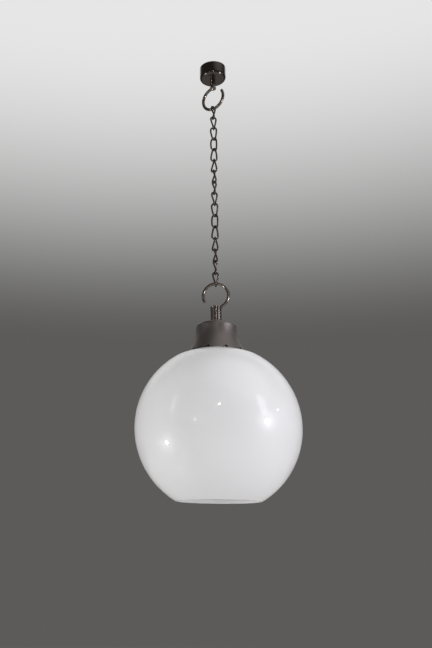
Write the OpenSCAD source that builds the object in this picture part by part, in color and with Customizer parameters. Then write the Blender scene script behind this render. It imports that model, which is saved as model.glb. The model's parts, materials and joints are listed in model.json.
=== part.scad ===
// Pendant lamp: an opal glass ball with a bell-shaped metal cap, hung by a twisted-link
// chain between two C-ring hooks. The origin is the middle of the ceiling face, +Z is up.

/* [Canopy] */
// Outer diameter of the canopy
canopy_d = 62; // [52:1:90]
// Height of the canopy below the ceiling
canopy_h = 33; // [28:1:60]
// Sheet thickness of the canopy
canopy_wall = 1.2; // [0.8:0.1:2]
// Radius of the canopy's lower edge
canopy_edge_r = 8; // [3:0.5:9]
// Gap between the canopy's rim and the ceiling
canopy_rim_gap = 0.5; // [0.2:0.1:1.5]

/* [Ceiling plate] */
// Thickness of the ceiling plate
plate_t = 2; // [1.5:0.25:3]
// Gap between the plate's edge and the canopy's inner wall
plate_edge_gap = 1.8; // [0.5:0.1:2.5]
// Distance between the two screw slots
slot_spacing = 38; // [36:1:42]
// Width of a screw slot
slot_w = 4.5; // [3.5:0.25:5]
// End-to-end length of a screw slot
slot_l = 9; // [6:0.5:9]
// Radius of the mounting tube's thread
mount_thread_r = 4; // [3.5:0.25:4.5]
// Distance of the cable holes from the lamp's axis
cable_offset = 15; // [13:0.5:16]
// Radius of the hole for the cable bush
cable_hole_r = 5; // [4:0.25:5.5]

/* [Terminals] */
// Width of the terminal block
block_w = 18; // [14:1:20]
// Depth of the terminal block
block_d = 10; // [8:0.5:11]
// Height of the terminal block
block_h = 10; // [8:0.5:14]
// Distance of the terminal block from the lamp's axis
block_offset = 17; // [15:0.5:18]
// Radius of the wire holes in the terminal block
wire_hole_r = 1.6; // [1:0.1:2]

/* [Hooks] */
// Radius of a C ring's centre line
ring_r = 28; // [22:0.5:40]
// Diameter of a C ring's round bar
ring_bar_d = 7; // [5:0.5:8]
// Angle of a C ring's free end above its middle
ring_free_deg = 31; // [10:1:40]
// Angle of a C ring's rooted end
ring_root_deg = 84; // [80:1:90]
// Distance from a C ring's middle to the end face of its stem
ring_to_stem = 26.2; // [25:0.1:27.5]
// Yaw of the upper ring from the lamp's front
upper_ring_yaw = -33; // [-45:1:-25]
// Diameter of the upper stem
upper_stem_d = 12.5; // [11.5:0.5:18]
// Length of the upper stem below the canopy
upper_stem_l = 24; // [20:1:60]
// Diameter of the collar at the upper stem's end
upper_collar_d = 15; // [15:0.5:22]
// Height of a stem's collar
collar_h = 4; // [2:0.5:6]
// Diameter of the lower stem
lower_stem_d = 24; // [18:0.5:26]
// Length of the lower stem
lower_stem_l = 40; // [30:1:60]
// Diameter of the collar at the lower stem's top
lower_collar_d = 26; // [26:0.5:32]

/* [Chain] */
// Number of chain links
link_count = 16; // [2:1:24]
// Length that each link adds to the chain
link_pitch = 28; // [24:0.5:40]
// Diameter of the chain's wire
link_wire_d = 4; // [2:0.05:4.2]
// Outer width of a link
link_w = 17.3; // [16.5:0.1:22]
// Twist of a link from its top bend to its bottom bend
link_twist = 64.286; // [0:0.001:90]
// Yaw of the first link's top bend
first_link_yaw = 45; // [40:1:70]

/* [Cap] */
// Height of the cap
cap_h = 65; // [62:1:85]
// Radius of the cap's rim
cap_rim_r = 62.5; // [58:0.5:72]
// Radius of the cap below its shoulder
cap_top_r = 44; // [42:0.5:48]
// Radius of the cap's shoulder
cap_shoulder_r = 7; // [4:0.5:12]
// Sheet thickness of the cap
cap_wall = 1.5; // [1:0.1:2]
// Number of vent notches in the rim
notch_count = 10; // [6:1:12]
// Width of a vent notch
notch_w = 6; // [3:0.5:8]
// Height of a vent notch
notch_h = 4.5; // [3:0.5:6]

/* [Globe] */
// Outer diameter of the glass ball
globe_d = 350; // [320:5:400]
// Thickness of the glass
globe_wall = 4; // [3:0.25:5]
// Radius of the flattened crown
crown_r = 215; // [205:1:230]
// Radius at which the crown meets the ball
crown_edge_r = 90; // [80:1:100]
// Radius of the hole in the crown
fitter_r = 50; // [42:0.5:54]
// Distance from the ball's middle down to its open mouth
mouth_drop = 151; // [120:1:155]

/* [Globe plate] */
// Radius of the plate that carries the glass
globe_plate_r = 60; // [58:0.5:61]
// Thickness of the globe plate
globe_plate_t = 1.5; // [1:0.25:3]
// Height of the rubber gasket at its outer edge
gasket_h = 1.5; // [1:0.25:3]
// Number of vent holes in the globe plate
vent_count = 6; // [4:1:8]
// Radius of a vent hole
vent_r = 7; // [4:0.5:8]

/* [Lampholder] */
// Radius of the threaded tube that joins the stem to the lampholder
tube_thread_r = 5; // [4:0.25:5.5]
// Bore radius of the hollow tubes
tube_bore_r = 3; // [2.5:0.1:3.2]
// Outer radius of the lampholder's dome
dome_r = 22; // [21:0.5:25]
// Height of the dome
dome_h = 36; // [32:1:36]
// Outer radius of the lampholder's threaded skirt
skirt_r = 20; // [18.5:0.5:20.5]
// Sheet thickness of the lampholder
holder_wall = 1; // [0.6:0.1:1.4]
// Outer radius of the shade ring
shade_ring_r = 28; // [26:0.5:30]
// Height of the shade ring
shade_ring_h = 5; // [4:0.5:7]

/* [Bulb] */
// Radius of the bulb's base
bulb_base_r = 13.2; // [13:0.05:13.4]
// Height of the bulb's base with its tip
bulb_base_h = 24; // [23:0.5:26]
// Radius of the bulb's ball
bulb_r = 30; // [22:0.5:40]
// Length of the bulb's glass below its base
bulb_glass_l = 76; // [70:1:100]
// Thickness of the bulb's glass
bulb_wall = 1; // [0.6:0.1:1.2]

/* [Clearances] */
// Gap between a link and the wire it hangs on
link_seat = 0.3; // [0.1:0.05:0.5]
// Gap between the glass and what holds it
glass_seat = 0.3; // [0.1:0.05:0.6]
// Gap between a thread and its hole
thread_fit = 0.1; // [0.05:0.05:0.2]
// Gap round a tube that passes through a hole
pass_fit = 0.2; // [0.1:0.05:0.4]
// Gap between the bulb's base and the screw shell
bulb_fit = 0.3; // [0.15:0.05:0.5]

/* [Hidden] */
$fn = 64;
function two_digits(n) = str(n < 10 ? "0" : "", n);
function link_name(n) = str("chain_link_", two_digits(n));

// Heights down the lamp, from the ceiling at zero
stem_top_z = -canopy_h;
stem_end_z = stem_top_z - upper_stem_l;
upper_ring_z = stem_end_z - ring_to_stem;
ring_in = ring_r - ring_bar_d / 2;
chain_top_z = upper_ring_z - ring_in;
chain_end_z = chain_top_z - link_count * link_pitch;
lower_ring_z = chain_end_z + link_seat - ring_in;
lower_stem_z = lower_ring_z - ring_to_stem;
cap_top_z = lower_stem_z - lower_stem_l;
rim_z = cap_top_z - cap_h;

// The crown is a flatter sphere that meets the ball at crown_edge_r
globe_r = globe_d / 2;
crown_drop = sqrt(pow(crown_r, 2) - pow(crown_edge_r, 2)) - sqrt(pow(globe_r, 2) - pow(crown_edge_r, 2));
function crown_out(r) = sqrt(pow(crown_r, 2) - pow(r, 2)) - crown_drop;
function crown_in(r) = sqrt(pow(crown_r - globe_wall, 2) - pow(r, 2)) - crown_drop;
globe_z = rim_z - glass_seat - crown_out(cap_rim_r - cap_wall);

// Heights of the lampholder, from the plate that carries the glass
globe_plate_z = globe_z + crown_in(globe_plate_r) - glass_seat - gasket_h;
gasket_w = 9;
vent_inset = 4;
shade_lip_h = 1.5;
shade_neck_wall = 3;
skirt_below = 3;
skirt_l = 27;
skirt_wall = 2 * holder_wall;
bead_h = 3;
skirt_end_z = globe_plate_z - globe_plate_t - shade_ring_h - skirt_below;
bead_z = skirt_end_z + skirt_l;
dome_z = bead_z + bead_h;
dome_top_z = dome_z + dome_h;
boss_wall = 3;
boss_r = tube_thread_r + boss_wall;
boss_h = 9;
dome_cone_h = 9;
insert_z = dome_z - 1;
insert_seat_z = dome_z + 5;
insert_flange_h = 3;
insert_boss_h = 5;
insert_boss_step = 4;
insert_well_z = dome_z + 6;
insert_well_r = 6;
contact_h = 2.5;
contact_r = 3.5;
contact_gap = 3;
shell_hole_r = contact_r + contact_gap;
shell_wall = 0.5;
shell_l = 24;

// Heights of the bulb, from the contact down
bulb_tip_z = insert_z - contact_h - bulb_fit;
bulb_tip_r = 4.5;
bulb_tip_h = 1.5;
bulb_cone_h = 4;
base_wall = 0.5;
base_floor = 1;
base_end_z = bulb_tip_z - bulb_base_h;
bulb_z = base_end_z - bulb_glass_l + bulb_r;
neck_in_base = 8;
neck_below_base = 4;
bulb_shoulder_deg = 30;
shoulder_tuck_deg = 2;

// Small fastenings
tube_wall_gap = 2;
mount_bore_r = tube_bore_r - 0.5;
nut_h = 4;
lock_nut_w = 13;
cap_nut_w = 17;
washer_r = 12;
washer_t = 1.5;
bush_flange = 1;
bush_t = 1.5;
bush_hole_r = 3;
earth_shank_r = 2;
earth_head_r = 4;
earth_head_h = 2.5;
earth_offset = 19;
earth_yaw = -45;
clamp_screw_r = 1.3;
clamp_screw_l = 3.5;
wire_hole_up = 4;
plate_r = canopy_d / 2 - canopy_wall - plate_edge_gap;
plate_hole_shift = 2;
thread_depth = 14;
inlet_r = 4;
inlet_up = 20;
inlet_z = cap_top_z + inlet_up;
inlet_neck_gap = 1;
cable_bore_h = 25;

// How far a cutter runs past the face that it starts from
past = 1;

// Yaw of a link's top bend and bottom bend; the lower ring stands square to the last bend
function link_top_yaw(n) = first_link_yaw + (n - 1) * (link_twist + 90);
function link_bottom_yaw(n) = link_top_yaw(n) + link_twist;
lower_ring_yaw = link_bottom_yaw(link_count) % 180 - 90;

// A hexagon nut with a round hole, its top face at zero
module nut(across_flats, height, hole_r) {
    difference() {
        translate([0, 0, -height]) cylinder(r = across_flats / 2 / cos(30), h = height, $fn = 6);
        translate([0, 0, -height - past]) cylinder(r = hole_r, h = height + 2 * past);
    }
}

// A hollow threaded tube between two heights
module tube(outer_r, bore_r, low_z, high_z) {
    translate([0, 0, low_z]) difference() {
        cylinder(r = outer_r, h = high_z - low_z);
        translate([0, 0, -past]) cylinder(r = bore_r, h = high_z - low_z + 2 * past);
    }
}

// A rubber bush in a sheet: its neck fills the hole and a flange lies on each face
module bush(hole_r, sheet_t) {
    difference() {
        union() {
            cylinder(r = hole_r - thread_fit, h = sheet_t);
            translate([0, 0, -bush_t]) cylinder(r = hole_r + bush_flange, h = bush_t);
            translate([0, 0, sheet_t]) cylinder(r = hole_r + bush_flange, h = bush_t);
        }
        translate([0, 0, -bush_t - past]) cylinder(r = bush_hole_r, h = sheet_t + 2 * (bush_t + past));
    }
}

module ceiling_plate() {
    cut_h = plate_t + 2 * past;
    color("silver") difference() {
        translate([0, 0, -plate_t]) cylinder(r = plate_r, h = plate_t);
        translate([0, 0, -plate_t - past]) {
            for (side = [-1, 1]) translate([side * slot_spacing / 2, 0, 0]) slot_cutter(cut_h);
            cylinder(r = mount_thread_r, h = cut_h);
            translate([0, cable_offset + plate_hole_shift, 0]) cylinder(r = cable_hole_r, h = cut_h);
            rotate([0, 0, earth_yaw]) translate([earth_offset, 0, 0]) cylinder(r = earth_shank_r, h = cut_h);
        }
    }
}

module slot_cutter(height) {
    reach = (slot_l - slot_w) / 2;
    translate([-reach, -slot_w / 2, 0]) cube([2 * reach, slot_w, height]);
    for (side = [-1, 1]) translate([side * reach, 0, 0]) cylinder(d = slot_w, h = height);
}

module mounting_tube() {
    low_z = stem_top_z - thread_depth + tube_wall_gap;
    color("silver") tube(mount_thread_r - thread_fit, mount_bore_r, low_z, -plate_t / 4);
}

module tube_lock_nut() {
    color("silver") translate([0, 0, -plate_t]) nut(lock_nut_w, nut_h, mount_thread_r);
}

module earth_screw() {
    color("goldenrod") rotate([0, 0, earth_yaw]) translate([earth_offset, 0, -plate_t]) {
        cylinder(r = earth_shank_r - thread_fit, h = 0.9 * plate_t);
        translate([0, 0, -earth_head_h]) cylinder(r = earth_head_r, h = earth_head_h);
    }
}

module terminal_block() {
    color("ivory") translate([0, -block_offset, -plate_t - block_h]) difference() {
        translate([-block_w / 2, -block_d / 2, 0]) cube([block_w, block_d, block_h]);
        for (side = [-1, 1]) translate([side * block_w / 4, 0, 0]) {
            translate([0, block_d, wire_hole_up])
                rotate([90, 0, 0]) cylinder(r = wire_hole_r, h = 2 * block_d);
            translate([0, 0, -past]) cylinder(r = clamp_screw_r, h = wire_hole_up + past);
        }
    }
}

module terminal_screws() {
    color("goldenrod") for (side = [-1, 1])
        translate([side * block_w / 4, -block_offset, -plate_t - block_h])
            cylinder(r = clamp_screw_r - thread_fit, h = clamp_screw_l);
}

// Half outline of a cup that hangs from height zero, with a round lower edge
module cup_outline(r, h, edge_r) {
    translate([0, -h]) square([r - edge_r, h]);
    translate([0, -h + edge_r]) square([r, h - edge_r]);
    translate([r - edge_r, -h + edge_r]) circle(edge_r);
}

module canopy() {
    color([0.13, 0.12, 0.12]) difference() {
        translate([0, 0, -canopy_rim_gap]) rotate_extrude() difference() {
            cup_outline(canopy_d / 2, canopy_h - canopy_rim_gap, canopy_edge_r);
            translate([0, past])
                cup_outline(canopy_d / 2 - canopy_wall, canopy_h - canopy_rim_gap - canopy_wall + past,
                            canopy_edge_r - canopy_wall);
        }
        translate([0, 0, -canopy_h - past]) {
            cylinder(r = mount_thread_r + pass_fit, h = canopy_wall + 2 * past);
            translate([0, cable_offset, 0]) cylinder(r = cable_hole_r, h = canopy_wall + 2 * past);
        }
    }
}

module canopy_cable_bush() {
    color([0.08, 0.08, 0.08]) translate([0, cable_offset, -canopy_h]) bush(cable_hole_r, canopy_wall);
}

// An open C ring in an upright plane, its free end at ring_free_deg
module c_ring(yaw, turn) {
    rotate([90, 0, yaw]) rotate([0, 0, turn + ring_root_deg])
        rotate_extrude(angle = 360 + ring_free_deg - ring_root_deg)
            translate([ring_r, 0]) circle(d = ring_bar_d, $fn = 32);
}

module upper_hook() {
    color([0.32, 0.3, 0.28]) difference() {
        union() {
            translate([0, 0, stem_end_z]) cylinder(d = upper_stem_d, h = upper_stem_l);
            translate([0, 0, stem_end_z]) cylinder(d = upper_collar_d, h = collar_h);
            translate([0, 0, upper_ring_z]) c_ring(upper_ring_yaw, 0);
        }
        translate([0, 0, stem_top_z - thread_depth]) cylinder(r = mount_thread_r, h = thread_depth + past);
    }
}

// Stations round a link's centre line: [x, z, outward x, outward z], counted from its right side
link_bend_r = (link_w - link_wire_d) / 2;
link_sides = 8;
bend_steps = 9;
leg_steps = 7;
function bend_station(a, z) = [link_bend_r * cos(a), z + link_bend_r * sin(a), cos(a), sin(a)];
function link_stations(high, low) = concat(
    [for (i = [0:bend_steps]) bend_station(180 * i / bend_steps, high)],
    [for (i = [1:leg_steps - 1]) [-link_bend_r, high + (low - high) * i / leg_steps, -1, 0]],
    [for (i = [0:bend_steps]) bend_station(180 + 180 * i / bend_steps, low)],
    [for (i = [1:leg_steps - 1]) [link_bend_r, low + (high - low) * i / leg_steps, 1, 0]]);
function ease(u) = u * u * (3 - 2 * u);
function twisted(p, top_yaw, top_z, bottom_z) =
    let (u = min(1, max(0, (top_z - p.z) / (top_z - bottom_z))), a = top_yaw + link_twist * ease(u))
    [p.x * cos(a) - p.y * sin(a), p.x * sin(a) + p.y * cos(a), p.z];

// One link: round wire swept along the stations, then twisted about the chain's axis
module chain_link(n) {
    wire_r = link_wire_d / 2;
    top_z = chain_top_z - (n - 1) * link_pitch + link_seat + wire_r;
    bottom_z = chain_top_z - n * link_pitch - wire_r;
    stations = link_stations(top_z - link_bend_r, bottom_z + link_bend_r);
    count = len(stations);
    points = [for (s = stations, j = [0:link_sides - 1])
        let (a = 360 * j / link_sides)
        twisted([s[0] + wire_r * cos(a) * s[2], wire_r * sin(a), s[1] + wire_r * cos(a) * s[3]],
                link_top_yaw(n), top_z, bottom_z)];
    faces = [for (i = [0:count - 1], j = [0:link_sides - 1], half = [0, 1])
        let (ring = i * link_sides, next_ring = ((i + 1) % count) * link_sides, k = (j + 1) % link_sides)
        half == 0 ? [ring + j, ring + k, next_ring + j] : [ring + k, next_ring + k, next_ring + j]];
    color([0.3, 0.28, 0.26]) polyhedron(points, faces, convexity = 4);
}

module lower_hook() {
    color([0.32, 0.3, 0.28]) difference() {
        union() {
            translate([0, 0, cap_top_z]) cylinder(d = lower_stem_d, h = lower_stem_l);
            translate([0, 0, lower_stem_z - collar_h]) cylinder(d = lower_collar_d, h = collar_h);
            translate([0, 0, lower_ring_z]) c_ring(lower_ring_yaw, 180);
        }
        translate([0, 0, cap_top_z - past]) cylinder(r = tube_thread_r, h = cable_bore_h + past);
        translate([0, 0, inlet_z]) rotate([-90, 0, 0]) cylinder(r = inlet_r, h = lower_stem_d);
    }
}

module stem_cable_bush() {
    neck = lower_stem_d / 2 - tube_thread_r - inlet_neck_gap;
    color([0.08, 0.08, 0.08]) translate([0, lower_stem_d / 2, inlet_z]) rotate([-90, 0, 0]) difference() {
        union() {
            translate([0, 0, -neck]) cylinder(r = inlet_r - thread_fit, h = neck);
            cylinder(r = inlet_r + bush_flange, h = bush_t);
        }
        translate([0, 0, -neck - past]) cylinder(r = inlet_r - bush_flange, h = neck + bush_t + 2 * past);
    }
}

module threaded_tube() {
    color("silver")
        tube(tube_thread_r - thread_fit, tube_bore_r, dome_top_z - boss_h, cap_top_z + thread_depth);
}

module cap_washer() {
    top_z = cap_top_z - cap_wall;
    color("silver") tube(washer_r, tube_thread_r + pass_fit, top_z - washer_t, top_z);
}

module cap_nut() {
    color("silver") translate([0, 0, cap_top_z - cap_wall - washer_t]) nut(cap_nut_w, nut_h, tube_thread_r);
}

// The cap's outline: a flat top, a round shoulder, then a bell curve out to the rim
bell_steps = 12;
shoulder_steps = 6;
cap_fall = 0.7;
cap_flat_margin = 2;
notch_yaw = 1.5;
notch_reach = 12;
shoulder_z = -cap_fall - cap_shoulder_r;
// How far out and down the bell's two inner control points lie, as shares of its width and height
bell_out = [0.03, 0.2];
bell_down = [0.35, 0.55];
function bell(t) = let (u = 1 - t, h = cap_h + shoulder_z, w = cap_rim_r - cap_top_r)
    pow(u, 3) * [cap_top_r, shoulder_z]
    + 3 * u * u * t * [cap_top_r + w * bell_out[0], shoulder_z - h * bell_down[0]]
    + 3 * u * t * t * [cap_top_r + w * bell_out[1], shoulder_z - h * bell_down[1]]
    + pow(t, 3) * [cap_rim_r, -cap_h];
function cap_curve(inset) = concat(
    [for (i = [0:shoulder_steps]) let (a = 90 - 90 * i / shoulder_steps)
        [cap_top_r - cap_shoulder_r + (cap_shoulder_r - inset) * cos(a),
         shoulder_z + (cap_shoulder_r - inset) * sin(a)]],
    [for (i = [1:bell_steps]) bell(i / bell_steps) - [inset, 0]]);
function reversed(list) = [for (i = [len(list) - 1:-1:0]) list[i]];

module cap() {
    flat_r = lower_stem_d / 2 + cap_flat_margin;
    hole_r = tube_thread_r + pass_fit;
    color([0.36, 0.33, 0.32]) translate([0, 0, cap_top_z]) difference() {
        rotate_extrude() polygon(concat(
            [[hole_r, 0], [flat_r, 0]], cap_curve(0),
            reversed(cap_curve(cap_wall)), [[flat_r, -cap_wall], [hole_r, -cap_wall]]));
        for (i = [0:notch_count - 1]) rotate([0, 0, notch_yaw - 90 + (i + 0.5) * 360 / notch_count])
            translate([cap_rim_r - notch_reach, -notch_w / 2, -cap_h - past])
                cube([notch_reach + past, notch_w, notch_h + past]);
    }
}

// Half outline of the glass, shrunk by inset
module globe_outline(inset) {
    intersection() {
        circle(globe_r - inset, $fn = 128);
        translate([0, -crown_drop]) circle(crown_r - inset, $fn = 128);
        translate([0, -globe_d]) square(2 * globe_d);
    }
}

module globe() {
    color([0.95, 0.95, 0.97]) translate([0, 0, globe_z]) rotate_extrude() difference() {
        globe_outline(0);
        globe_outline(globe_wall);
        square([fitter_r, globe_d]);
        translate([0, -globe_d - mouth_drop]) square(globe_d);
    }
}

module globe_gasket() {
    color([0.1, 0.1, 0.1]) rotate_extrude() intersection() {
        translate([globe_plate_r - gasket_w, globe_plate_z]) square([gasket_w, 10 * gasket_h]);
        translate([0, globe_z - crown_drop]) circle(crown_r - globe_wall - glass_seat, $fn = 720);
    }
}

module globe_plate() {
    color("silver") difference() {
        translate([0, 0, globe_plate_z - globe_plate_t]) cylinder(r = globe_plate_r, h = globe_plate_t);
        translate([0, 0, globe_plate_z - globe_plate_t - past]) {
            cylinder(r = skirt_r + pass_fit, h = globe_plate_t + 2 * past);
            for (i = [0:vent_count - 1]) rotate([0, 0, i * 360 / vent_count])
                translate([globe_plate_r - gasket_w - vent_r - vent_inset, 0, 0])
                    cylinder(r = vent_r, h = globe_plate_t + 2 * past);
        }
    }
}

module shade_ring() {
    top_z = globe_plate_z - globe_plate_t;
    color("silver") difference() {
        union() {
            translate([0, 0, top_z - shade_lip_h]) cylinder(r = shade_ring_r, h = shade_lip_h);
            translate([0, 0, top_z - shade_ring_h]) cylinder(r = skirt_r + shade_neck_wall, h = shade_ring_h);
        }
        translate([0, 0, top_z - shade_ring_h - past])
            cylinder(r = skirt_r + thread_fit, h = shade_ring_h + 2 * past);
    }
}

module holder_dome() {
    cone_z = dome_top_z - boss_h;
    wall_z = cone_z - dome_cone_h;
    color("silver") rotate_extrude() polygon([
        [tube_thread_r, dome_top_z], [boss_r, dome_top_z], [boss_r, cone_z], [dome_r, wall_z],
        [dome_r, dome_z], [dome_r - holder_wall, dome_z], [dome_r - holder_wall, wall_z - holder_wall],
        [boss_r - holder_wall, cone_z - holder_wall], [tube_thread_r, cone_z - holder_wall]]);
}

module holder_skirt() {
    neck_r = dome_r - holder_wall - thread_fit;
    color("silver") rotate_extrude() polygon([
        [neck_r, insert_seat_z], [neck_r, dome_z], [dome_r, dome_z], [dome_r, bead_z], [skirt_r, bead_z],
        [skirt_r, skirt_end_z], [skirt_r - skirt_wall, skirt_end_z], [skirt_r - skirt_wall, insert_seat_z]]);
}

module holder_insert() {
    flange_r = dome_r - holder_wall - 2 * thread_fit;
    body_r = skirt_r - skirt_wall - thread_fit;
    boss_z = insert_seat_z + insert_flange_h;
    color("ivory") difference() {
        union() {
            translate([0, 0, insert_z]) cylinder(r = body_r, h = insert_seat_z - insert_z);
            translate([0, 0, insert_seat_z]) cylinder(r = flange_r, h = insert_flange_h);
            translate([0, 0, boss_z]) cylinder(r = body_r - insert_boss_step, h = insert_boss_h);
        }
        translate([0, 0, insert_well_z])
            cylinder(r = insert_well_r, h = boss_z + insert_boss_h - insert_well_z + past);
    }
}

module screw_shell() {
    in_r = bulb_base_r + bulb_fit;
    out_r = in_r + shell_wall;
    color("goldenrod") rotate_extrude() polygon([
        [shell_hole_r, insert_z], [out_r, insert_z], [out_r, insert_z - shell_l], [in_r, insert_z - shell_l],
        [in_r, insert_z - shell_wall], [shell_hole_r, insert_z - shell_wall]]);
}

module centre_contact() {
    color("goldenrod") translate([0, 0, insert_z - contact_h]) cylinder(r = contact_r, h = contact_h);
}

module bulb_base() {
    cone_z = bulb_tip_z - bulb_tip_h;
    wall_z = cone_z - bulb_cone_h;
    color("silver") rotate_extrude() polygon([
        [0, bulb_tip_z], [bulb_tip_r, bulb_tip_z], [bulb_tip_r, cone_z], [bulb_base_r, wall_z],
        [bulb_base_r, base_end_z], [bulb_base_r - base_wall, base_end_z],
        [bulb_base_r - base_wall, wall_z - base_floor], [0, wall_z - base_floor]]);
}

// The bulb's ball and the neck that runs up into the base, shrunk by inset
module bulb_form(inset, neck_top_z) {
    neck_r = bulb_base_r - base_wall - thread_fit - inset;
    ball_r = bulb_r - inset;
    shoulder_r = ball_r * cos(bulb_shoulder_deg + shoulder_tuck_deg);
    shoulder_z = bulb_z + ball_r * sin(bulb_shoulder_deg);
    translate([0, 0, bulb_z]) sphere(ball_r);
    rotate_extrude() polygon([
        [0, neck_top_z], [neck_r, neck_top_z], [neck_r, base_end_z - neck_below_base],
        [shoulder_r, shoulder_z], [0, shoulder_z]]);
}

module bulb_glass() {
    neck_top_z = base_end_z + neck_in_base;
    color([0.97, 0.97, 0.95]) difference() {
        bulb_form(0, neck_top_z);
        bulb_form(bulb_wall, neck_top_z + past);
    }
}

ceiling_plate();
mounting_tube();
tube_lock_nut();
earth_screw();
terminal_block();
terminal_screws();
canopy();
canopy_cable_bush();
upper_hook();
for (n = [1:link_count]) chain_link(n);
lower_hook();
stem_cable_bush();
threaded_tube();
cap_washer();
cap_nut();
cap();
globe();
globe_gasket();
globe_plate();
shade_ring();
holder_dome();
holder_skirt();
holder_insert();
screw_shell();
centre_contact();
bulb_base();
bulb_glass();
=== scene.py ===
"""Pendant lamp: an opal glass ball with a bell-shaped metal cap, hung by a twisted-link chain
from a small round canopy. Lengths are in metres and +Z is up; the ceiling is at zero."""

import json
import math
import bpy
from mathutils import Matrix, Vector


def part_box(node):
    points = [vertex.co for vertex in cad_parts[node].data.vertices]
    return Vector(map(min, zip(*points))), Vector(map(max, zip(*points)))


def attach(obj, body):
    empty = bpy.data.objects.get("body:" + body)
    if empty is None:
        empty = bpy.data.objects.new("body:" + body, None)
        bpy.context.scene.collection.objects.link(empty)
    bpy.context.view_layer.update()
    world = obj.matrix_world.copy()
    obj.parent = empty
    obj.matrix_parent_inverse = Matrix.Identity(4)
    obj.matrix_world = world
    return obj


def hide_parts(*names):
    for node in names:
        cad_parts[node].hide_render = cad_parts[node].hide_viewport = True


bl_info = {
    "name": "Opal Pendant Lamp",
    "version": (1, 0, 0),
    "blender": (4, 5, 0),
    "location": "View3D > Sidebar > Lamp",
    "description": "Models the lamp's visible pieces, their finishes and a plain studio",
    "category": "Object",
}

import bpy
from mathutils import Matrix, Vector

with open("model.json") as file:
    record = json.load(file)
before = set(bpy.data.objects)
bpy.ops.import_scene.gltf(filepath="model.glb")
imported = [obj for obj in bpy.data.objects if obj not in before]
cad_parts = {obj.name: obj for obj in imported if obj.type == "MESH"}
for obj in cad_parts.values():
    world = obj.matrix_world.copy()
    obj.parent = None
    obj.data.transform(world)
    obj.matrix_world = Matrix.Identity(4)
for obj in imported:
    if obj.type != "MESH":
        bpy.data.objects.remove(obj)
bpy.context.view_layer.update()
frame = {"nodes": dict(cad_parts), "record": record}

MM = 0.001
LINK_NODES = sorted(name for name in frame["nodes"] if name.startswith("chain_link_"))
LATHE_STEPS = 128
MERGE_GAP = 0.002 * MM
# How far out and down the cap's two inner control points lie, as shares of its flare and height
BELL_OUT = (0.03, 0.2)
BELL_DOWN = (0.35, 0.55)
# The ring bar's sides and steps, and the easing of its ends
RING_SIDES = 28
RING_STEPS = 120
RING_EASE = 0.7 * MM
# The wire's sides, the steps of a link's bend and of its straight leg
WIRE_SIDES = 16
BEND_STEPS = 16
LEG_STEPS = 10
# The cap's clearance round the stem's bore, and its flat beyond the stem
CAP_HOLE_GAP = 0.2 * MM
CAP_FLAT = 2 * MM
# Where the vent notches start, how deep their cutter is, and the radius of its corners
NOTCH_START = math.radians(-90 + 1.5)
NOTCH_DEPTH = 20 * MM
NOTCH_CORNER = 1.5 * MM
# The rounding of the glass's cut edges
GLASS_LIP = 1.2 * MM
# The bulb's neck: its gap to the base, its start below the base, and the bend into the ball
NECK_GAP = 0.8 * MM
NECK_BELOW = 4 * MM
NECK_BEND = 18 * MM
# The period of the clouds in a metal's gloss, and the depth of a surface's fine relief
CLOUD_MM = 12.0
RELIEF_DEPTH = 0.05 * MM
# The period of the slow waves in blown glass, and their depth
WAVE_MM = 60.0
WAVE_DEPTH = 0.2 * MM


def length(name, description, default_mm):
    """A length property, its default given in millimetres."""
    return bpy.props.FloatProperty(
        name=name, description=description, default=default_mm * MM, min=0.0, unit="LENGTH"
    )


def angle(name, description, default_deg):
    """An angle property, its default given in degrees."""
    return bpy.props.FloatProperty(
        name=name, description=description, default=math.radians(default_deg), subtype="ANGLE"
    )


def linear(hex_colour):
    """An sRGB hex colour as linear red, green and blue."""
    parts = [int(hex_colour[i : i + 2], 16) / 255 for i in (1, 3, 5)]
    return tuple(p / 12.92 if p <= 0.04045 else ((p + 0.055) / 1.055) ** 2.4 for p in parts)


def colour(name, description, hex_colour):
    """A colour property, its default given as sRGB hex."""
    return bpy.props.FloatVectorProperty(
        name=name, description=description, default=linear(hex_colour),
        size=3, min=0.0, max=1.0, subtype="COLOR",
    )


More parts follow.
